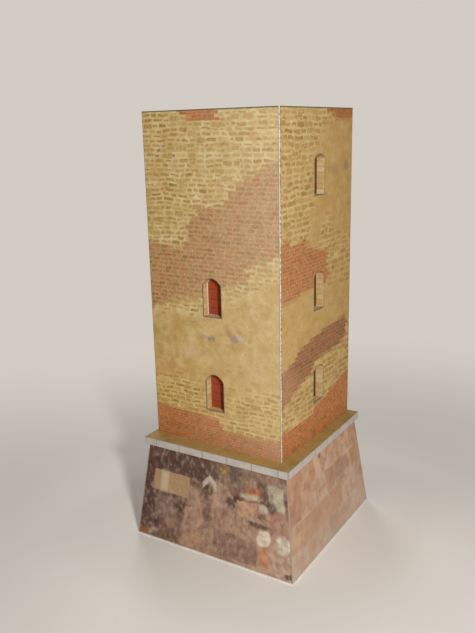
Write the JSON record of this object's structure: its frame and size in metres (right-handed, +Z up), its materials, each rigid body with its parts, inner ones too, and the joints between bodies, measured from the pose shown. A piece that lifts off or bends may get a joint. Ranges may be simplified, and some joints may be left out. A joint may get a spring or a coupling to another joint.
{
  "type": "card model lighthouse tower",
  "caption": "Card model of a square lighthouse tower on a sloping plinth with a thin ledge, its walls printed as brick, stone and plaster, with shuttered arched windows.",
  "frame": {"origin": "centre of the foot, on the ground", "axes": "+X to the right along the front, the front faces -Y, +Z up"},
  "size_m": [0.1008, 0.1008, 0.234],
  "materials": {
    "white_card": "uncoated",
    "plinth_print": "matt printed",
    "ledge_top_print": "matt printed",
    "ledge_edge_print": "matt printed",
    "wall_print": "matt printed",
    "liner_print": "matt printed",
    "shutter_print": "matt printed"
  },
  "bodies": {
    "root": {"base_card": "white_card", "plinth_front": "plinth_print", "plinth_right": "plinth_print", "plinth_back": "plinth_print", "plinth_left": "plinth_print", "ledge_soffit": "ledge_edge_print", "ledge_front_edge": "ledge_edge_print", "ledge_right_edge": "ledge_edge_print", "ledge_back_edge": "ledge_edge_print", "ledge_left_edge": "ledge_edge_print", "ledge_top": "ledge_top_print", "wall_front": "wall_print", "wall_right": "wall_print", "wall_back": "wall_print", "wall_left": "wall_print", "tower_top": "white_card", "liner_front_low": "liner_print", "liner_front_mid": "liner_print", "liner_right_low": "liner_print", "liner_right_mid": "liner_print", "liner_right_top": "liner_print", "liner_back_low": "liner_print", "liner_back_mid": "liner_print", "liner_left_low": "liner_print", "liner_left_mid": "liner_print", "liner_left_top": "liner_print", "shutter_front_low": "shutter_print", "shutter_front_mid": "shutter_print", "shutter_right_low": "shutter_print", "shutter_right_mid": "shutter_print", "shutter_right_top": "shutter_print", "shutter_back_low": "shutter_print", "shutter_back_mid": "shutter_print", "shutter_left_low": "shutter_print", "shutter_left_mid": "shutter_print", "shutter_left_top": "shutter_print"}
  },
  "joints": []
}
